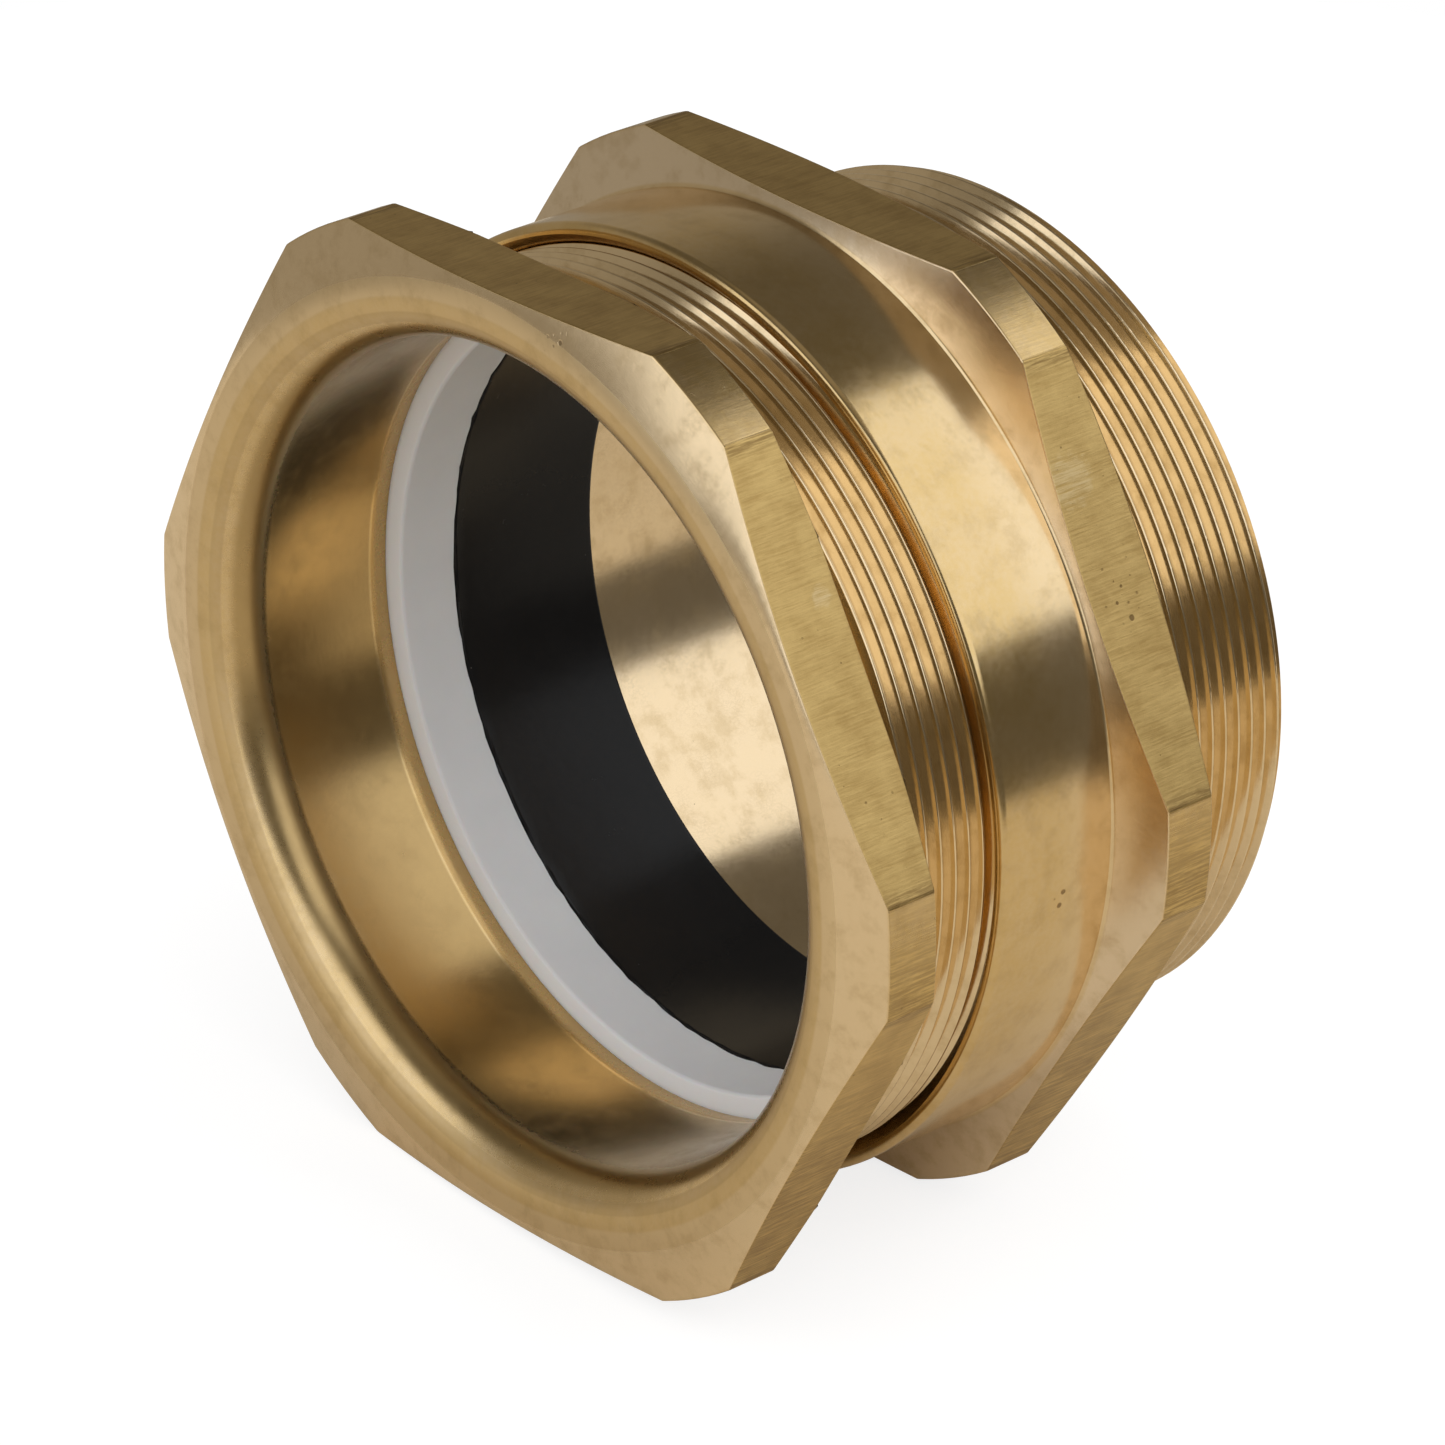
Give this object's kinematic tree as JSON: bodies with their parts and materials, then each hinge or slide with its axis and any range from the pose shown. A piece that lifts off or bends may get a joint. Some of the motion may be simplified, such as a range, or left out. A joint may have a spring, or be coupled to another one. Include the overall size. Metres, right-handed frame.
{
  "type": "compression cable gland",
  "caption": "Brass compression cable gland: a hex body with a male entry thread and a hex nut that screws in over a nylon washer to squeeze a rubber sleeve round a cable.",
  "frame": {"origin": "centre of the panel shoulder: the point on the fitting's axis in the plane of the body hexagon's face on the entry-thread side", "axes": "+Y along the fitting's axis, out of the entry thread (the cable mouth faces -Y); +Z is the normal of one flat of the body's hexagon, up as the fitting lies on a flat; +X completes the right-handed frame"},
  "size_m": [0.093, 0.0539, 0.0864],
  "materials": {
    "body_brass": "satin machined",
    "nut_brass": "satin machined",
    "seal_rubber": "smooth moulded",
    "washer_nylon": "natural white, matte"
  },
  "bodies": {
    "gland": {"entry_body": "body_brass", "outer_seal": "seal_rubber"},
    "washer": {"skid_washer": "washer_nylon"},
    "nut": {"outer_seal_nut": "nut_brass"}
  },
  "joints": [
    {"name": "nut_feed", "type": "slide", "parent": "gland", "child": "washer", "axis": [0, 1, 0], "range_m": [0, 0.006], "deforming": ["outer_seal"]},
    {"name": "nut_turn", "type": "hinge", "parent": "washer", "child": "nut", "pos_m": [0, -0.03, 0], "axis": [0, 1, 0], "range_deg": [0, 1440]}
  ],
  "couplings": [
    {"joint": "nut_feed", "follows": "nut_turn", "m_per_rad": 0.00023873}
  ]
}
